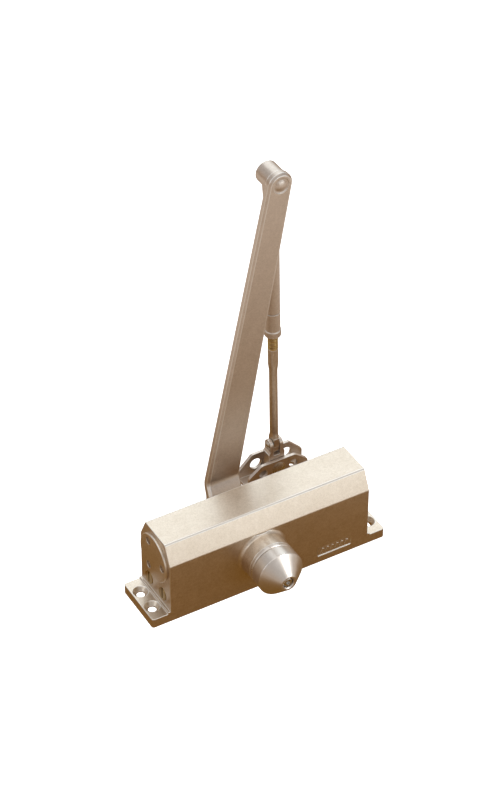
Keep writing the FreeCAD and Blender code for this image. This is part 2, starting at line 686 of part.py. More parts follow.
def make_elbow_rivet():
    stem = cylinder("elbow_rivet_stem", "y",
                    ("elbow_x", "arm_front + rivet_seat_depth - 0.1", "elbow_height"),
                    "elbow_hub_back - arm_front - rivet_seat_depth + 0.5", "elbow_rivet_radius")
    front = dome("elbow_rivet_front", "-y",
                 ("elbow_x", "arm_front + rivet_seat_depth", "elbow_height"),
                 "rivet_dome_radius", 1.6)
    back = dome("elbow_rivet_back", "y", ("elbow_x", "elbow_hub_back + 0.3", "elbow_height"),
                "5.8", 1.6)
    node("elbow_rivet", fuse("elbow_rivet", stem, front, back))


# Forearm and adjusting rod, modelled hanging below the elbow and then leaned into place

def forearm_lean():
    across = size("fork_pin_x") - size("elbow_x")
    down = size("elbow_height") - size("fork_pin_height")
    return math.degrees(math.atan2(across, down))


def forearm_reach():
    return math.hypot(size("fork_pin_x") - size("elbow_x"),
                      size("elbow_height") - size("fork_pin_height"))


def hang(item):
    item.Placement.Rotation = FreeCAD.Rotation(V(0, 1, 0), -forearm_lean())
    bind(item, **{"Placement.Base.x": "elbow_x", "Placement.Base.y": "forearm_plane",
                  "Placement.Base.z": "elbow_height"})
    return item


def make_forearm():
    hub_start = "elbow_hub_front - forearm_plane"
    hub_long = "elbow_hub_back - elbow_hub_front"
    hub = cylinder("elbow_hub_barrel", "y", ("0", f"{hub_start} + 0.6", "0"), f"{hub_long} - 1.2",
                   "elbow_hub_radius")
    front_rim = cone("elbow_hub_front_rim", "y", ("0", hub_start, "0"), "0.6",
                     "elbow_hub_radius - 0.6", "elbow_hub_radius")
    back_rim = cone("elbow_hub_back_rim", "y", ("0", "elbow_hub_back - forearm_plane - 0.6", "0"),
                    "0.6", "elbow_hub_radius", "elbow_hub_radius - 0.6")
    neck = cone("forearm_neck", "-z", ("0", "0", "-3"), "17", "6.6", "tube_radius")
    tube = cylinder("forearm_shank", "-z", ("0", "0", "0"), "tube_end", "tube_radius")
    hole = cylinder("elbow_hub_hole", "y", ("0", f"{hub_start} - 1", "0"), f"{hub_long} + 2",
                    "elbow_rivet_radius + running_gap")
    bore = cylinder("forearm_bore", "-z", ("0", "0", "-thread_start + 26"),
                    "tube_end - thread_start + 30", "tube_bore_radius")
    solid = fuse("forearm_solid", hub, front_rim, back_rim, neck, tube)
    node("forearm_tube", hang(cut("forearm_tube", solid, hole, bore)))
    thread = "thread_radius + running_gap"
    bush = cut("tube_bush",
               cylinder("tube_bush_outer", "-z", ("0", "0", "-tube_end - 0.3"),
                        "bush_end - tube_end - 0.3", "tube_radius + 0.1"),
               cylinder("tube_bush_hole", "-z", ("0", "0", "-tube_end + 1"), "30", thread))
    node("tube_bush", hang(bush))
    barrel = cylinder("lock_nut_barrel", "-z", ("0", "0", "-bush_end - 0.5"),
                      "lock_nut_length - 1", "lock_nut_radius")
    top_rim = cone("lock_nut_top", "-z", ("0", "0", "-bush_end"), "0.5", "lock_nut_radius - 0.5",
                   "lock_nut_radius")
    low_rim = cone("lock_nut_low", "-z", ("0", "0", "-bush_end - lock_nut_length + 0.5"), "0.5",
                   "lock_nut_radius", "lock_nut_radius - 0.5")
    nut_hole = cylinder("lock_nut_hole", "-z", ("0", "0", "-bush_end + 1"), "12", thread)
    node("lock_nut", hang(cut("lock_nut", fuse("lock_nut_solid", barrel, top_rim, low_rim),
                              nut_hole)))


def make_adjusting_rod():
    reach = f"{forearm_reach():.6f}"
    threaded = cylinder("rod_thread", "-z", ("0", "0", "-thread_start"),
                        "thread_end - thread_start", "thread_radius")
    taper = cone("rod_taper", "-z", ("0", "0", "-thread_end"), "taper_end - thread_end",
                 "thread_radius", "rod_radius")
    shank = cylinder("rod_shank", "-z", ("0", "0", "-taper_end"), f"rod_neck - taper_end - 5",
                     "rod_radius")
    flat = box("rod_flat", ("-eye_thickness / 2", "-eye_radius", f"-{reach}"), "eye_thickness",
               "2 * eye_radius", f"{reach} - rod_neck + 0.01")
    shoulder = common("rod_shoulder",
                      cone("rod_shoulder_cone", "-z", ("0", "0", "-rod_neck + 5"), "5",
                           "rod_radius", "eye_radius"),
                      box("rod_shoulder_block", ("-eye_thickness / 2", "-10", "-rod_neck"),
                          "eye_thickness", "20", "5"))
    eye = cylinder("rod_eye", "x", ("-eye_thickness / 2", "0", f"-{reach}"), "eye_thickness",
                   "eye_radius")
    # The end below the eye is slimmer, so that it clears the shoe's plates when it tilts.
    foot = f"-{reach} - eye_drop"
    end_flat = box("rod_end_flat", ("-eye_thickness / 2", "-eye_end_radius", foot),
                   "eye_thickness", "2 * eye_end_radius", "eye_drop")
    end_round = cylinder("rod_end_round", "x", ("-eye_thickness / 2", "0", foot),
                         "eye_thickness", "eye_end_radius")
    hole = cylinder("rod_eye_hole", "x", ("-10", "0", f"-{reach}"), "20",
                    "fork_pin_radius + 0.09")
    solid = fuse("rod_solid", threaded, taper, shank, flat, shoulder, eye, end_flat, end_round)
    node("adjusting_rod", hang(cut("adjusting_rod", solid, hole)))


# Fork and shoe

def make_fork():
    middle, plane = "fork_pin_x", "forearm_plane"
    front = f"{plane} - fork_depth / 2"
    wide = "fork_gap + 2 * ear_thickness"
    tongue = cylinder("fork_eye", "y", (middle, front, "swivel_height"), "fork_depth",
                      "fork_shoulder / 2")
    block = box("fork_block", (f"{middle} - fork_shoulder / 2", front, "swivel_height"),
                "fork_shoulder", "fork_depth", "13")
    shoulder = cylinder("fork_round", "y", (middle, front, "swivel_height + 11"), "fork_depth",
                        "fork_shoulder / 2")
    ears = box("fork_ears", (f"{middle} - ({wide}) / 2", front, "swivel_height + 12"), wide,
               "fork_depth", "fork_pin_height - swivel_height - 12")
    ear_tops = cylinder("fork_ear_tops", "x", (f"{middle} - ({wide}) / 2", plane,
                                               "fork_pin_height"), wide, "fork_depth / 2")
    slot = box("fork_slot", (f"{middle} - fork_gap / 2", f"{front} - 1",
                             "fork_pin_height - eye_drop - eye_end_radius - 0.8"),
               "fork_gap", "fork_depth + 2", "20")
    pin_hole = cylinder("fork_pin_hole", "x", (f"{middle} - 20", plane, "fork_pin_height"), "40",
                        "fork_pin_radius + 0.02")
    swivel_hole = cylinder("fork_swivel_hole", "y", (middle, f"{front} - 1", "swivel_height"),
                           "fork_depth + 2", "swivel_radius + running_gap")
    solid = fuse("fork_solid", tongue, block, shoulder, ears, ear_tops)
    node("swivel_fork", cut("swivel_fork", solid, slot, pin_hole, swivel_hole))
    stem = cylinder("fork_pin_stem", "x", (f"{middle} - ({wide}) / 2 - 0.3", plane,
                                           "fork_pin_height"), f"{wide} + 0.6",
                    "fork_pin_radius")
    left = dome("fork_pin_left", "-x", (f"{middle} - ({wide}) / 2", plane, "fork_pin_height"),
                "3.2", 1.3)
    right = dome("fork_pin_right", "x", (f"{middle} + ({wide}) / 2", plane, "fork_pin_height"),
                 "3.2", 1.3)
    node("fork_pin", fuse("fork_pin", stem, left, right))


def plate_outline(half_top, half_long, depth, top):
    # Wing-shaped plate: flat top, sloping shoulders, straight ends and a flat foot.
    foot = size("web_bottom")
    middle = size("fork_pin_x")
    shoulder = foot + 9.5
    right = [(half_long, foot), (half_long, shoulder), (half_top, top)]
    left = [(-across, up) for across, up in reversed(right)]
    return [V(middle + across, depth, up) for across, up in right + left]


def make_shoe():
    middle = size("fork_pin_x")
    thick, gap = size("plate_thickness"), size("plate_gap")
    inner_front = size("forearm_plane") - gap / 2
    inner_rear = size("forearm_plane") + gap / 2
    foot = size("web_bottom")
    half = size("shoe_length") / 2
    front = prism(plate_outline(half - 13, half - 2, inner_front - thick,
                                size("front_plate_top")), V(0, thick, 0))
    rear = prism(plate_outline(half - 11.5, half, inner_rear, size("plate_top")),
                 V(0, thick, 0))
    front = front.makeFillet(5, [e for e in front.Edges if e.BoundBox.YLength > thick - 0.01
                                 and e.BoundBox.ZMin > foot + 1])
    rear = rear.makeFillet(4, [e for e in rear.Edges if e.BoundBox.YLength > thick - 0.01
                               and e.BoundBox.ZMin > foot + 1])
    web = Part.makeBox(2 * half, gap + 2, thick, V(middle - half, inner_front - 1, foot))
    shape = front.fuse([rear, web])
    holes = []
    front_hole_height, rear_hole_height = size("front_hole_height"), size("rear_hole_height")
    for side in (-1, 1):
        x = middle + side * size("plate_hole_pitch") / 2
        holes.append(Part.makeCylinder(size("front_plate_hole"), thick + 2,
                                       V(x, inner_front - thick - 1, front_hole_height),
                                       V(0, 1, 0)))
        holes.append(Part.makeCylinder(size("rear_plate_hole"), thick + 2,
                                       V(x, inner_rear - 1, rear_hole_height), V(0, 1, 0)))
        x = middle + side * size("web_hole_pitch") / 2
        holes.append(Part.makeCylinder(size("web_hole_radius"), thick + 2,
                                       V(x, size("forearm_plane"), foot - 1), V(0, 0, 1)))
    holes.append(Part.makeCylinder(size("swivel_radius") + 0.02, gap + 2 * thick + 2,
                                   V(middle, inner_front - thick - 1, size("swivel_height")),
                                   V(0, 1, 0)))
    node("shoe_bracket", feature("shoe_bracket", shape.cut(holes).removeSplitter()))


def make_swivel_rivet():
    outer = "plate_gap / 2 + plate_thickness"
    stem = cylinder("swivel_rivet_stem", "y", ("fork_pin_x", f"forearm_plane - ({outer})",
                                               "swivel_height"), f"2 * ({outer})",
                    "swivel_radius")
    front = dome("swivel_rivet_front", "-y", ("fork_pin_x", f"forearm_plane - ({outer})",
                                              "swivel_height"), "5.6", 1.3)
    back = dome("swivel_rivet_back", "y", ("fork_pin_x", f"forearm_plane + {outer}",
                                           "swivel_height"), "5.6", 1.5)
    node("swivel_rivet", fuse("swivel_rivet", stem, front, back))


make_casting()
for side, sign in (("left", -1), ("right", 1)):
    make_end_plug(side, sign)
for side, sign in (("front", -1), ("rear", 1)):
    make_bearing_set(side, sign)
make_pinion_shaft()
make_piston()
make_return_spring()
make_valve("sweep_valve", -1)
make_valve("latch_valve", 1)
make_cap()
make_main_arm()
make_arm_fixing()
make_elbow_rivet()
make_forearm()
make_adjusting_rod()
make_fork()
make_shoe()
make_swivel_rivet()
doc.recompute()

failed = [item.Name for item in doc.Objects
          if "Invalid" in item.State or "Error" in item.State]
if failed:
    raise RuntimeError(f"failed to recompute: {failed}")
for item in nodes:
    if item.Shape.isNull() or not item.Shape.isValid() or not item.Shape.Solids:
        raise RuntimeError(f"bad shape: {item.Label}")

os.makedirs("parts", exist_ok=True)
for item in nodes:
    item.Shape.exportStep(os.path.join("parts", item.Label + ".step"))
    print(f"{item.Label:20s} solids {len(item.Shape.Solids)} volume {item.Shape.Volume:10.1f}")
print(len(nodes), "nodes")
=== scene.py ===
import json
import math

import bmesh
import bpy
from mathutils import Matrix, Vector

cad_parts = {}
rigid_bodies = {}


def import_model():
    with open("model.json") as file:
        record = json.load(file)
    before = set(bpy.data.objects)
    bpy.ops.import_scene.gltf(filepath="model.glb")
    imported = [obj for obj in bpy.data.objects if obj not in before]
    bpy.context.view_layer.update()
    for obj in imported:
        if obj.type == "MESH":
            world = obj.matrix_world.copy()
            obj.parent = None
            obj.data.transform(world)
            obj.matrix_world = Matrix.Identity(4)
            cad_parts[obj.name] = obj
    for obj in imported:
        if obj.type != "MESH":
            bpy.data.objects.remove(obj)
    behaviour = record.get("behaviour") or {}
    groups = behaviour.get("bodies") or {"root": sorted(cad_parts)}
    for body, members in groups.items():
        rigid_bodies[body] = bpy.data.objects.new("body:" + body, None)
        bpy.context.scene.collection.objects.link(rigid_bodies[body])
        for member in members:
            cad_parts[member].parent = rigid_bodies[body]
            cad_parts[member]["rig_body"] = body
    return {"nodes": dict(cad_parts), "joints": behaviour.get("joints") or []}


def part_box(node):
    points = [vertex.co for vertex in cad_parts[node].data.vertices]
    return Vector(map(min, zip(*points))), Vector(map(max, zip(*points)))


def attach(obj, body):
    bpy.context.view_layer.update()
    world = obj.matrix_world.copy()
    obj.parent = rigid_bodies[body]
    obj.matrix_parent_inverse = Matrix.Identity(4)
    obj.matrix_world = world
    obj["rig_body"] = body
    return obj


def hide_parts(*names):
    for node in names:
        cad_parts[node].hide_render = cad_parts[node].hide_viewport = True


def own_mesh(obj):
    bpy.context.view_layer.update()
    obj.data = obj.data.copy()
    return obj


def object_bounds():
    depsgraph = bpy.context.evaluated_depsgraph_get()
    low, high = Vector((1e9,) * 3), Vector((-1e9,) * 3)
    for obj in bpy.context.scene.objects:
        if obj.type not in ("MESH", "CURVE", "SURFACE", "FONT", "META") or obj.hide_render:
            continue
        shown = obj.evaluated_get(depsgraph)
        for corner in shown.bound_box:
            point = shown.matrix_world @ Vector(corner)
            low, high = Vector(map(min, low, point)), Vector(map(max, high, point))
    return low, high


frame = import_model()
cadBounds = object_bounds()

mm = 0.001
scene = bpy.context.scene
joints = {joint["name"]: joint for joint in frame["joints"]}


# shader trees

class Link:
    # one output socket, so that sums of masks are written as plain expressions
    def __init__(self, finish, socket):
        self.finish = finish
        self.socket = socket

    def sum(self, operation, first, second=0.0):
        return self.finish.add("ShaderNodeMath", "Value", {"operation": operation},
                               {0: first, 1: second})

    def __add__(self, other):
        return self.sum("ADD", self, other)

    def __radd__(self, other):
        return self.sum("ADD", other, self)

    def __sub__(self, other):
        return self.sum("SUBTRACT", self, other)

    def __mul__(self, other):
        return self.sum("MULTIPLY", self, other)

    def __rmul__(self, other):
        return self.sum("MULTIPLY", other, self)


def setStops(ramp, stops):
    while len(ramp.elements) < len(stops):
        ramp.elements.new(0.5)
    for element, (place, colour) in zip(ramp.elements, stops):
        element.position = place
        element.color = (*colour, 1)


class Finish:
    # a material and the few ways its nodes are added
    def __init__(self, name):
        self.material = bpy.data.materials.new(name)
        self.material.use_nodes = True
        self.tree = self.material.node_tree
        self.surface = self.tree.nodes["Principled BSDF"]

    def put(self, socket, value):
        if isinstance(value, Link):
            self.tree.links.new(value.socket, socket)
        else:
            socket.default_value = value

    def add(self, kind, output, settings, values):
        node = self.tree.nodes.new(kind)
        for name, value in settings.items():
            if name == "stops":
                setStops(node.color_ramp, value)
            else:
                setattr(node, name, value)
        for name, value in values.items():
            self.put(node.inputs[name], value)
        return Link(self, node.outputs[output])

    def place(self):
        return self.add("ShaderNodeTexCoord", "Object", {}, {})

    def noise(self, scale, detail=2.0, stretch=None):
        coords = self.place()
        if stretch:
            coords = self.add("ShaderNodeMapping", "Vector", {},
                              {"Vector": coords, "Scale": stretch})
        return self.add("ShaderNodeTexNoise", "Fac", {},
                        {"Vector": coords, "Scale": scale, "Detail": detail})

    def flakes(self, scale):
        # one random value for each small cell, as a metallic pigment flake has its own tilt
        colour = self.add("ShaderNodeTexVoronoi", "Color", {},
                          {"Vector": self.place(), "Scale": scale})
        return self.add("ShaderNodeSeparateColor", "Red", {}, {"Color": colour})

    def blend(self, share, first, second):
        # the mix node's colour sockets are its inputs 6 and 7 and its output 2
        return self.add("ShaderNodeMix", 2, {"data_type": "RGBA"},
                        {"Factor": share, 6: first, 7: second})

    def edge(self):
        # the mark on rounded edges, which the finishes use for a painted highlight
        return self.add("ShaderNodeAttribute", "Fac", {"attribute_name": "edge"}, {})

    def bump(self, height, strength, distance, over=None):
        values = {"Height": height, "Strength": strength, "Distance": distance}
        if over:
            values["Normal"] = over
        return self.add("ShaderNodeBump", "Normal", {}, values)

    def finish(self, **values):
        for name, value in values.items():
            self.put(self.surface.inputs[name.replace("_", " ")], value)
        return self.material


def paintFinish(name, look):
    # metallic paint: a bronze flake coat, orange peel and a thin clear lacquer, with a painted
    # highlight on the rounded edges
    paint = Finish(name)
    flake = paint.flakes(look["flakesPerMetre"])
    cloud = paint.noise(look["cloudsPerMetre"], 3)
    speck = paint.noise(look["specksPerMetre"], 4)
    edge = paint.edge()
    tone = 0.5 + look["flakeDepth"] * (flake - 0.5) + look["cloudDepth"] * (cloud - 0.5)
    tone = tone + look["speckDepth"] * (speck - 0.5)
    colour = paint.blend(tone, look["deepColour"], look["lightColour"])
    # painted highlight: the rounded edges are blended towards a pale colour, as if they caught the
    # light
    colour = paint.blend(edge * look["edgeHighlightShare"], colour, look["edgeHighlightColour"])
    rough = look["roughness"] + look["roughSpread"] * (speck - 0.5) - look["edgePolish"] * edge
    peel = paint.bump(paint.noise(look["peelPerMetre"], 1), look["peelStrength"], look["peelDepth"])
    grain = paint.bump(flake, look["grainStrength"], look["grainDepth"], peel)
    return paint.finish(Base_Color=colour, Metallic=look["metallic"], Roughness=rough, Normal=grain,
                        Coat_Weight=look["coat"], Coat_Roughness=look["coatRoughness"],
                        Coat_IOR=1.5)


def turnedFinish(name, look):
    # plated or ground metal with fine tool lines along one direction, and a painted highlight on
    # the rounded edges
    metal = Finish(name)
    lines = metal.noise(look["linesPerMetre"], 3, look["stretch"])
    cloud = metal.noise(look["cloudsPerMetre"], 3)
    tone = 0.5 + look["lineTone"] * (lines - 0.5) + look["cloudTone"] * (cloud - 0.5)
    colour = metal.blend(tone, look["deepColour"], look["lightColour"])
    # painted highlight: the rounded edges are blended towards the light colour
    colour = metal.blend(metal.edge() * look["edgeHighlightShare"], colour, look["lightColour"])
    rough = look["roughness"] + look["lineRough"] * (lines - 0.5)
    rough = rough + look["cloudRough"] * (cloud - 0.5)
    ridges = metal.bump(lines, look["lineStrength"], look["lineDepth"])
    return metal.finish(Base_Color=colour, Metallic=1.0, Roughness=rough, Normal=ridges)


def rubberFinish(name, look):
    rubber = Finish(name)
    grain = rubber.noise(look["grainPerMetre"], 2)
    colour = rubber.blend(grain, look["deepColour"], look["lightColour"])
    skin = rubber.bump(grain, look["grainStrength"], look["grainDepth"])
    rough = look["roughness"] + look["roughSpread"] * grain
    return rubber.finish(Base_Color=colour, Roughness=rough, Normal=skin)


paintLook = {
    "deepColour": (0.57, 0.455, 0.335, 1), "lightColour": (0.78, 0.66, 0.53, 1),
    # edgeHighlightColour and edgeHighlightShare: the colour and strength of the painted highlight
    # on rounded edges
    "edgeHighlightColour": (0.90, 0.86, 0.80, 1), "edgeHighlightShare": 0.6,
    "flakesPerMetre": 1500, "flakeDepth": 0.4, "cloudsPerMetre": 120, "cloudDepth": 0.5,
    "specksPerMetre": 420, "speckDepth": 0.8, "roughness": 0.36, "roughSpread": 0.12,
    "edgePolish": 0.05, "peelPerMetre": 420, "peelStrength": 0.05, "peelDepth": 0.3 * mm,
    "grainStrength": 0.05, "grainDepth": 0.05 * mm, "metallic": 0.95, "coat": 0.5,
    "coatRoughness": 0.16,
}
armLook = dict(paintLook, roughness=0.41, coat=0.35, coatRoughness=0.24,
               deepColour=(0.57, 0.475, 0.39, 1), lightColour=(0.74, 0.63, 0.53, 1))
rodLook = dict(paintLook, roughness=0.34, flakeDepth=0.25, coat=0.2,
               deepColour=(0.50, 0.40, 0.29, 1), lightColour=(0.80, 0.68, 0.55, 1))
capLook = dict(paintLook, edgeHighlightShare=0.2, roughness=0.34, flakeDepth=0.2, speckDepth=0.4, coat=0.1,
               deepColour=(0.62, 0.54, 0.46, 1), lightColour=(0.78, 0.70, 0.62, 1))
steelLook = {
    "deepColour": (0.42, 0.38, 0.33, 1), "lightColour": (0.80, 0.76, 0.70, 1),
    "linesPerMetre": 500, "stretch": (1, 6, 1), "cloudsPerMetre": 220, "roughness": 0.26,
    # edgeHighlightShare: how far the painted highlight on rounded edges goes towards the light
    # colour
    "lineTone": 0.35, "cloudTone": 0.7, "edgeHighlightShare": 0.35, "lineRough": 0.16,
    "cloudRough": 0.1, "lineStrength": 0.2, "lineDepth": 0.05 * mm,
}
goldLook = dict(steelLook, deepColour=(0.40, 0.24, 0.07, 1), lightColour=(0.72, 0.52, 0.22, 1),
                roughness=0.32)
brassLook = dict(steelLook, deepColour=(0.33, 0.22, 0.09, 1), lightColour=(0.62, 0.46, 0.22, 1),
                 stretch=(6, 1, 1), roughness=0.34)
toolLook = dict(steelLook, deepColour=(0.20, 0.20, 0.21, 1), lightColour=(0.52, 0.52, 0.54, 1),
                roughness=0.24)
rubberLook = {
    "grainPerMetre": 1800, "deepColour": (0.008, 0.008, 0.009, 1),
    "lightColour": (0.035, 0.034, 0.033, 1), "grainStrength": 0.25, "grainDepth": 0.1 * mm,
    "roughness": 0.5, "roughSpread": 0.2,
}

finishes = {
    "body_paint": paintFinish("castingPaint", paintLook),
    "arm_paint": paintFinish("armPaint", armLook),
    "plated_steel": turnedFinish("zincPlate", steelLook),
    "passivated_rod": paintFinish("rodPaint", rodLook),
    "valve_brass": turnedFinish("turnedBrass", brassLook),
    "tool_steel": turnedFinish("groundSteel", toolLook),
    "seal_rubber": rubberFinish("sealRubber", rubberLook),
}
capFinish = paintFinish("satinCap", capLook)
threadGold = turnedFinish("yellowPassivate", goldLook)
print("finishes made:", len(finishes) + 2)


# pieces made from the frame

slotOf = {}
for nodeName, node in frame["nodes"].items():
    slotOf[nodeName] = node.material_slots[0].material.name.split(".")[0]

rounding = {
    # edge radius of each piece that shows, in millimetres
    "closer_body": 0.45, "left_end_plug": 0.3, "right_end_plug": 0.3, "pinion_cap": 0.35,
    "front_bearing_nut": 0.3, "rear_bearing_nut": 0.3, "main_arm": 0.4, "arm_washer": 0.2,
    "arm_screw": 0.25, "elbow_rivet": 0.2, "forearm_tube": 0.25, "tube_bush": 0.3,
    "lock_nut": 0.2, "swivel_fork": 0.35, "fork_pin": 0.2, "shoe_bracket": 0.3,
    "swivel_rivet": 0.2, "cap_screw": 0.15,
}


skin = {
    "joinWithin": 0.002 * mm, "emptyBelow": 0.001 * mm, "flatWithin": math.radians(0.3),
    "sharpAbove": math.radians(28), "roundJoin": 0.004 * mm, "smoothBelow": math.radians(40),
    "grownSmoothBelow": math.radians(45), "sameFlat": 0.99998,
}


def mergedCopy(nodeName):
    # the frame's mesh as one skin: doubles joined and flat regions made whole again
    form = bmesh.new()
    form.from_mesh(frame["nodes"][nodeName].data)
    bmesh.ops.remove_doubles(form, verts=form.verts, dist=skin["joinWithin"])
    bmesh.ops.dissolve_degenerate(form, edges=form.edges, dist=skin["emptyBelow"])
    bmesh.ops.dissolve_limit(form, angle_limit=skin["flatWithin"], verts=form.verts,
                             edges=form.edges, delimit={"NORMAL"})
    return form


def roundEdges(form, radius):
    # every sharp edge gets a small round, and its faces are marked as an edge for the finish, which
    # paints a highlight there and makes the coat a little smoother
    edgeMark = form.faces.layers.float.new("edge")
    sharp = [edge for edge in form.edges
             if len(edge.link_faces) == 2 and edge.calc_face_angle() > skin["sharpAbove"]]
    made = bmesh.ops.bevel(form, geom=sharp, offset=radius, offset_type="OFFSET", segments=3,
                           profile=0.5, affect="EDGES", clamp_overlap=False, miter_outer="ARC")
    for face in made["faces"]:
        face[edgeMark] = 1.0
    bmesh.ops.remove_doubles(form, verts=form.verts, dist=skin["roundJoin"])


def flatRegions(form):
    # for each face, the number of the flat region it lies in; and each region's area
    regionOf = {}
    areas = []
    for seed in form.faces:
        if seed in regionOf:
            continue
        waiting = [seed]
        regionOf[seed] = len(areas)
        area = 0.0
        while waiting:
            face = waiting.pop()
            area += face.calc_area()
            for edge in face.edges:
                for other in edge.link_faces:
                    if other not in regionOf and other.normal.dot(face.normal) > skin["sameFlat"]:
                        regionOf[other] = len(areas)
                        waiting.append(other)
        areas.append(area)
    return regionOf, areas


def cornerNormals(form):
    # each corner takes the normals of the regions it runs smoothly into, large ones first
    regionOf, areas = flatRegions(form)
    limit = math.cos(skin["smoothBelow"])
    normals = []
    for face in form.faces:
        for corner in face.loops:
            near = {regionOf[other]: other.normal for other in corner.vert.link_faces
                    if other.normal.dot(face.normal) > limit}
            blended = sum((normal * areas[region] for region, normal in near.items()), Vector())
            normals.append(blended.normalized() if blended.length > 0 else face.normal.copy())
    return normals


def asObject(name, form, finish):
    form.normal_update()
    normals = cornerNormals(form)
    mesh = bpy.data.meshes.new(name)
    form.to_mesh(mesh)
    form.free()
    for face in mesh.polygons:
        face.use_smooth = True
    mesh.set_sharp_from_angle(angle=skin["smoothBelow"])
    mesh.normals_split_custom_set(normals)
    mesh.materials.append(finish)
    piece = bpy.data.objects.new(name, mesh)
    scene.collection.objects.link(piece)
    return piece


def plain(source):
    # the evaluated shape as a plain mesh with no modifiers
    view = bpy.context.evaluated_depsgraph_get()
    mesh = bpy.data.meshes.new_from_object(source.evaluated_get(view), depsgraph=view)
    mesh.name = source.name
    source.modifiers.clear()
    source.data = mesh
    return source


def fit(piece, nodeName):
    # the piece stands for the node and rides where it rides
    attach(piece, frame["nodes"][nodeName]["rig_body"])
    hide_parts(nodeName)


def addTo(piece, bodyName):
    # the piece is added to a body and stands for no node
    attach(piece, bodyName)


ownFinish = {"pinion_cap": capFinish, "front_bearing_nut": capFinish}

for nodeName, radius in rounding.items():
    form = mergedCopy(nodeName)
    roundEdges(form, radius * mm)
    finish = ownFinish.get(nodeName, finishes[slotOf[nodeName]])
    fit(asObject(nodeName + "_skin", form, finish), nodeName)
print("skins made:", len(rounding))


# pieces whose shape follows a rule, grown by geometry nodes

class Recipe:
    # a geometry node tree with named sizes, run once and kept as a plain mesh
    def __init__(self, name, sizes):
        self.name = name
        self.sizes = sizes
        self.tree = bpy.data.node_groups.new(name, "GeometryNodeTree")
        for label, value in sizes.items():
            kind = "NodeSocketInt" if isinstance(value, int) else "NodeSocketFloat"
            self.tree.interface.new_socket(label, in_out="INPUT", socket_type=kind)
        self.tree.interface.new_socket("Geometry", in_out="OUTPUT",
                                       socket_type="NodeSocketGeometry")
        self.given = self.tree.nodes.new("NodeGroupInput")
        self.result = self.tree.nodes.new("NodeGroupOutput")

    def size(self, label):
        return self.given.outputs[label]

    def add(self, kind, settings, values, output=0):
        node = self.tree.nodes.new(kind)
        for name, value in settings.items():
            setattr(node, name, value)
        for name, value in values.items():
            for source in value if isinstance(value, list) else [value]:
                if isinstance(source, bpy.types.NodeSocket):
                    self.tree.links.new(source, node.inputs[name])
                else:
                    node.inputs[name].default_value = source
        return node.outputs[output]

    def make(self, geometry, finish, placing):
        whole = self.add("GeometryNodeRealizeInstances", {}, {"Geometry": geometry})
        dressed = self.add("GeometryNodeSetMaterial", {}, {"Geometry": whole, "Material": finish})
        self.tree.links.new(dressed, self.result.inputs["Geometry"])
        piece = bpy.data.objects.new(self.name, bpy.data.meshes.new(self.name))
        scene.collection.objects.link(piece)
        grower = piece.modifiers.new("grower", "NODES")
        grower.node_group = self.tree
        for item in self.tree.interface.items_tree:
            if item.in_out == "INPUT":
                grower[item.identifier] = self.sizes[item.name]
        plain(piece)
        form = bmesh.new()
        form.from_mesh(piece.data)
        bmesh.ops.remove_doubles(form, verts=form.verts, dist=skin["emptyBelow"])
        bmesh.ops.recalc_face_normals(form, faces=form.faces)
        form.transform(placing)
        form.to_mesh(piece.data)
        form.free()
        for face in piece.data.polygons:
            face.use_smooth = True
        piece.data.set_sharp_from_angle(angle=skin["grownSmoothBelow"])
        return piece


def frameAlong(origin, direction):
    # turns and shifts a shape grown along +Z so that it runs from origin along direction
    return Matrix.Translation(origin) @ direction.to_track_quat("Z", "X").to_matrix().to_4x4()


coil = {"wireRadius": 1.9 * mm, "turns": 6.0, "sides": 14, "steps": 40, "endSteps": 48}


def makeReturnSpring():
    low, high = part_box("return_spring")
    ring = (high.z - low.z) / 2 - coil["wireRadius"]
    long = high.x - low.x - 2 * coil["wireRadius"]
    recipe = Recipe("return_coil", {"Radius": ring, "Length": long, "Wire": coil["wireRadius"],
                                    "Turns": coil["turns"]})
    helix = recipe.add("GeometryNodeCurveSpiral", {}, {
        "Resolution": coil["steps"], "Rotations": recipe.size("Turns"),
        "Start Radius": recipe.size("Radius"), "End Radius": recipe.size("Radius"),
        "Height": recipe.size("Length")})
    wire = recipe.add("GeometryNodeCurvePrimitiveCircle", {"mode": "RADIUS"},
                      {"Resolution": coil["sides"], "Radius": recipe.size("Wire")})
    turn = recipe.add("GeometryNodeCurvePrimitiveCircle", {"mode": "RADIUS"},
                      {"Resolution": coil["endSteps"], "Radius": recipe.size("Radius")})
    lift = recipe.add("ShaderNodeCombineXYZ", {}, {"Z": recipe.size("Length")})
    far = recipe.add("GeometryNodeTransform", {}, {"Geometry": turn, "Translation": lift})
    paths = recipe.add("GeometryNodeJoinGeometry", {}, {"Geometry": [helix, turn, far]})
    body = recipe.add("GeometryNodeCurveToMesh", {}, {
        "Curve": paths, "Profile Curve": wire, "Fill Caps": True})
    start = Vector((low.x + coil["wireRadius"], (low.y + high.y) / 2, (low.z + high.z) / 2))
    spring = recipe.make(body, finishes["tool_steel"], frameAlong(start, Vector((1, 0, 0))))
    fit(spring, "return_spring")
    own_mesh(spring)


rodThread = {"crest": 3.9 * mm, "ridge": 0.42 * mm, "pitch": 1.25 * mm, "core": 3.35 * mm,
             "start": 93 * mm, "end": 152.8 * mm, "steps": 28, "ridgeSides": 6,
             "stepLong": 0.4 * mm, "softness": 0.15 * mm}


def rodAxis():
    origin = Vector(joints["elbow_pivot"]["pos_m"])
    return origin, Vector(joints["rod_adjust"]["axis"]).normalized()


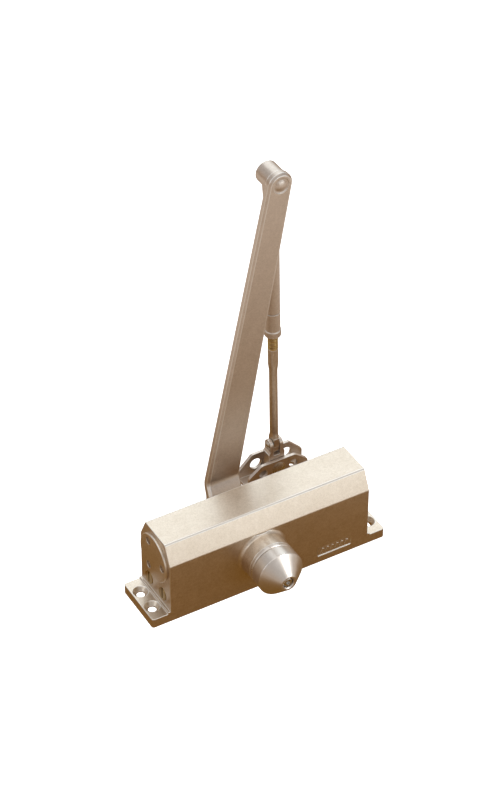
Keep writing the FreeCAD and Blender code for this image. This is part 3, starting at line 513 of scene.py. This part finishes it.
def makeThread():
    origin, along = rodAxis()
    long = rodThread["end"] - rodThread["start"]
    middle = rodThread["crest"] - rodThread["ridge"]
    recipe = Recipe("rod_thread", {"Radius": middle, "Length": long, "Ridge": rodThread["ridge"],
                                   "Turns": long / rodThread["pitch"]})
    helix = recipe.add("GeometryNodeCurveSpiral", {}, {
        "Resolution": rodThread["steps"], "Rotations": recipe.size("Turns"),
        "Start Radius": recipe.size("Radius"), "End Radius": recipe.size("Radius"),
        "Height": recipe.size("Length")})
    ridge = recipe.add("GeometryNodeCurvePrimitiveCircle", {"mode": "RADIUS"},
                       {"Resolution": rodThread["ridgeSides"], "Radius": recipe.size("Ridge")})
    body = recipe.add("GeometryNodeCurveToMesh", {}, {
        "Curve": helix, "Profile Curve": ridge, "Fill Caps": True})
    start = origin + along * rodThread["start"]
    thread = recipe.make(body, threadGold, frameAlong(start, along))
    addTo(thread, "rod")


def makeRod():
    # the rod's skin, with its threaded end turned down to the core of the thread
    origin, along = rodAxis()
    form = mergedCopy("adjusting_rod")
    for reach in (rodThread["end"], rodThread["end"] + rodThread["stepLong"]):
        every = form.verts[:] + form.edges[:] + form.faces[:]
        bmesh.ops.bisect_plane(form, geom=every, dist=skin["emptyBelow"],
                               plane_co=origin + along * reach, plane_no=along)
    for vert in form.verts:
        reach = (vert.co - origin).dot(along)
        if reach < rodThread["end"] + rodThread["stepLong"] / 4:
            axisPoint = origin + along * reach
            out = vert.co - axisPoint
            if out.length > rodThread["core"]:
                vert.co = axisPoint + out.normalized() * rodThread["core"]
    roundEdges(form, rodThread["softness"])
    fit(asObject("adjusting_rod_skin", form, finishes["passivated_rod"]), "adjusting_rod")


knurl = {"ribs": 40, "ribRadius": 0.24 * mm, "ribSides": 6, "inset": 0.9 * mm,
         "sunk": 0.1 * mm}


def makeKnurl():
    origin, along = rodAxis()
    corners = [vert.co - origin for vert in frame["nodes"]["lock_nut"].data.vertices]
    reaches = [corner.dot(along) for corner in corners]
    radius = max((corner - along * corner.dot(along)).length for corner in corners)
    start, end = min(reaches) + knurl["inset"], max(reaches) - knurl["inset"]
    recipe = Recipe("lock_nut_knurl", {"Radius": radius - knurl["sunk"], "Length": end - start,
                                       "Rib": knurl["ribRadius"], "Ribs": knurl["ribs"]})
    rim = recipe.add("GeometryNodeMeshCircle", {}, {"Vertices": recipe.size("Ribs"),
                                                    "Radius": recipe.size("Radius")})
    rib = recipe.add("GeometryNodeMeshCylinder", {}, {
        "Vertices": knurl["ribSides"], "Radius": recipe.size("Rib"),
        "Depth": recipe.size("Length")})
    ribs = recipe.add("GeometryNodeInstanceOnPoints", {}, {"Points": rim, "Instance": rib})
    middle = origin + along * (start + end) / 2
    addTo(recipe.make(ribs, finishes["arm_paint"], frameAlong(middle, along)), "forearm")


mark = {
    # a plain raised mark in the label panel: a row of slanting ribs
    "middle": (54.5 * mm, 10.3 * mm), "ribs": 6, "pitch": 4.1 * mm, "ribWide": 2.0 * mm,
    "ribHigh": 5.0 * mm, "ribDeep": 0.9 * mm, "sunk": 0.46 * mm, "slant": math.radians(24),
    "softness": 0.4 * mm,
}


def makeMark():
    recipe = Recipe("label_mark", {"Ribs": mark["ribs"], "Pitch": mark["pitch"],
                                   "Slant": mark["slant"]})
    rib = recipe.add("GeometryNodeMeshCube", {}, {
        "Size": (mark["ribWide"], mark["ribDeep"], mark["ribHigh"]), "Vertices X": 2,
        "Vertices Y": 2, "Vertices Z": 2})
    step = recipe.add("ShaderNodeCombineXYZ", {}, {"X": recipe.size("Pitch")})
    lean = recipe.add("ShaderNodeCombineXYZ", {}, {"Y": recipe.size("Slant")})
    row = recipe.add("GeometryNodeMeshLine", {"mode": "OFFSET"},
                     {"Count": recipe.size("Ribs"), "Offset": step})
    ribs = recipe.add("GeometryNodeInstanceOnPoints", {},
                      {"Points": row, "Instance": rib, "Rotation": lean})
    across, up = mark["middle"]
    first = across - (mark["ribs"] - 1) * mark["pitch"] / 2
    placing = Matrix.Translation((first, wallDepth() + mark["sunk"], up))
    piece = recipe.make(ribs, finishes["body_paint"], placing)
    form = bmesh.new()
    form.from_mesh(piece.data)
    bpy.data.objects.remove(piece)
    roundEdges(form, mark["softness"])
    addTo(asObject("label_mark", form, finishes["body_paint"]), "housing")


def wallDepth():
    # how far forward the flat front wall of the casting stands
    casting = frame["nodes"]["closer_body"].data
    return min(vert.co.y for vert in casting.vertices
               if vert.co.x > 80 * mm and vert.co.z > 30 * mm)


makeReturnSpring()
makeThread()
makeRod()
makeKnurl()
makeMark()
print("grown pieces made: 5")

for nodeName, node in frame["nodes"].items():
    if not node.hide_render:
        node.material_slots[0].material = finishes[slotOf[nodeName]]


# studio

studio = {
    "floorHalf": 40.0, "floorDrop": 600 * mm, "floorColour": (0.92, 0.92, 0.92, 1),
    "cardHalf": 0.9, "cardDrop": 0.2 * mm, "cardScale": 1.25,
    # the card's glow: dark brown in the middle as painted shade, pale further out
    "paintedShadeStops": [
        (0.0, (0.20, 0.097, 0.013)), (0.15, (0.24, 0.125, 0.028)), (0.26, (0.36, 0.26, 0.17)),
        (0.45, (0.60, 0.50, 0.42)), (0.9, (0.84, 0.78, 0.72))],
    "skyStops": [
        (0.0, (0.16, 0.08, 0.025)), (0.40, (0.26, 0.15, 0.07)), (0.50, (0.50, 0.40, 0.31)),
        (0.62, (0.55, 0.53, 0.53)), (0.85, (0.46, 0.47, 0.50)), (0.95, (1.1, 1.12, 1.15))],
}


def flatPiece(name, halfSide, height, finish):
    form = bmesh.new()
    bmesh.ops.create_grid(form, x_segments=1, y_segments=1, size=halfSide)
    bmesh.ops.translate(form, verts=form.verts, vec=(0, 0, height))
    mesh = bpy.data.meshes.new(name)
    form.to_mesh(mesh)
    form.free()
    mesh.materials.append(finish)
    piece = bpy.data.objects.new(name, mesh)
    scene.collection.objects.link(piece)
    return piece


def makeFloor():
    # far enough down that the arm stays in sight where it swings past the mounting face
    floorFinish = Finish("paleFloor").finish(Base_Color=studio["floorColour"], Roughness=0.9,
                                             Specular_IOR_Level=0.0,
                                             Emission_Color=(1, 1, 1, 1), Emission_Strength=1.0)
    floor = flatPiece("floor", studio["floorHalf"], -studio["floorDrop"], floorFinish)
    floor.visible_glossy = False
    floor.visible_diffuse = False
    floor.visible_shadow = False


def makePaintedShadeCard():
    # a warm glowing card under the closer that only its reflections see, with painted shade: dark
    # brown in the middle, where the closer's shadow on the floor would show in reflections, pale
    # again further out
    card = Finish("warmCard")
    spread = card.add("ShaderNodeVectorMath", "Value", {"operation": "LENGTH"}, {0: card.place()})
    # painted shade: the glow is darkest near the middle, under the closer
    glow = card.add("ShaderNodeValToRGB", "Color", {"stops": studio["paintedShadeStops"]},
                    {"Fac": spread * studio["cardScale"]})
    finish = card.finish(Base_Color=(0, 0, 0, 1), Emission_Color=glow, Emission_Strength=1.0,
                         Specular_IOR_Level=0.0)
    piece = flatPiece("warmCard", studio["cardHalf"], -studio["cardDrop"], finish)
    piece.visible_camera = False
    piece.visible_shadow = False


def makeSky():
    sky = bpy.data.worlds.new("studioSky")
    scene.world = sky
    sky.use_nodes = True
    tree = sky.node_tree
    coords = tree.nodes.new("ShaderNodeTexCoord")
    split = tree.nodes.new("ShaderNodeSeparateXYZ")
    scale = tree.nodes.new("ShaderNodeMapRange")
    ramp = tree.nodes.new("ShaderNodeValToRGB")
    tree.links.new(coords.outputs["Generated"], split.inputs[0])
    tree.links.new(split.outputs["Z"], scale.inputs["Value"])
    scale.inputs["From Min"].default_value = -1
    tree.links.new(scale.outputs["Result"], ramp.inputs["Fac"])
    tree.links.new(ramp.outputs["Color"], tree.nodes["Background"].inputs["Color"])
    setStops(ramp.color_ramp, studio["skyStops"])


lights = {
    # direction from the closer's middle, distance, width and height, power, colour
    "backLight": ((0.387, 0.665, 0.639), 1.6, (1.5, 1.0), 6.3, (0.75, 0.89, 1.0)),
    "frontLight": ((0.45, -0.90, 0.16), 1.7, (1.6, 0.7), 6.1, (0.75, 0.89, 1.0)),
    "leftLight": ((-0.9, -0.1, 0.5), 1.6, (0.8, 0.8), 2.2, (0.85, 0.93, 1.0)),
    "noseLight": ((0.57, -0.66, 0.63), 1.6, (0.38, 0.42), 11.5, (0.92, 0.96, 1.0)),
}


def makeLight(name):
    direction, distance, size, power, colour = lights[name]
    middle = (Vector(cadBounds[0]) + Vector(cadBounds[1])) / 2
    lamp = bpy.data.lights.new(name, "AREA")
    lamp.shape = "RECTANGLE"
    lamp.size, lamp.size_y = size
    lamp.energy = power
    lamp.color = colour
    holder = bpy.data.objects.new(name, lamp)
    way = Vector(direction).normalized()
    holder.matrix_world = (Matrix.Translation(middle + way * distance)
                           @ way.to_track_quat("Z", "Y").to_matrix().to_4x4())
    scene.collection.objects.link(holder)
    return holder


def lightOnly(holder, pieceNames):
    lit = bpy.data.collections.new(holder.name + "Pieces")
    for pieceName in pieceNames:
        lit.objects.link(bpy.data.objects[pieceName])
    holder.light_linking.receiver_collection = lit


view = {
    "azimuth": math.radians(30.24), "elevation": math.radians(39.70),
    "roll": math.radians(0.30), "aim": Vector((-6.76, 0, 166.29)) * mm, "distance": 1.8673,
    "sensor": 36, "lens": 122.4,
}


def makeCamera():
    azimuth, elevation, roll = view["azimuth"], view["elevation"], view["roll"]
    forward = Vector((math.sin(azimuth) * math.cos(elevation),
                      math.cos(azimuth) * math.cos(elevation), -math.sin(elevation)))
    level = Vector((math.cos(azimuth), -math.sin(azimuth), 0))
    upward = level.cross(forward)
    right = math.cos(roll) * level + math.sin(roll) * upward
    top = math.cos(roll) * upward - math.sin(roll) * level
    lens = bpy.data.cameras.new("camera")
    lens.sensor_width = view["sensor"]
    lens.lens = view["lens"]
    camera = bpy.data.objects.new("camera", lens)
    turn = Matrix((right, top, -forward)).transposed().to_4x4()
    camera.matrix_world = Matrix.Translation(view["aim"] - forward * view["distance"]) @ turn
    scene.collection.objects.link(camera)
    scene.camera = camera


makeFloor()
makePaintedShadeCard()
makeSky()
holders = {name: makeLight(name) for name in lights}
lightOnly(holders["noseLight"], ("pinion_cap_skin", "front_bearing_nut_skin"))
makeCamera()
scene.view_settings.view_transform = "Standard"
print("studio made")
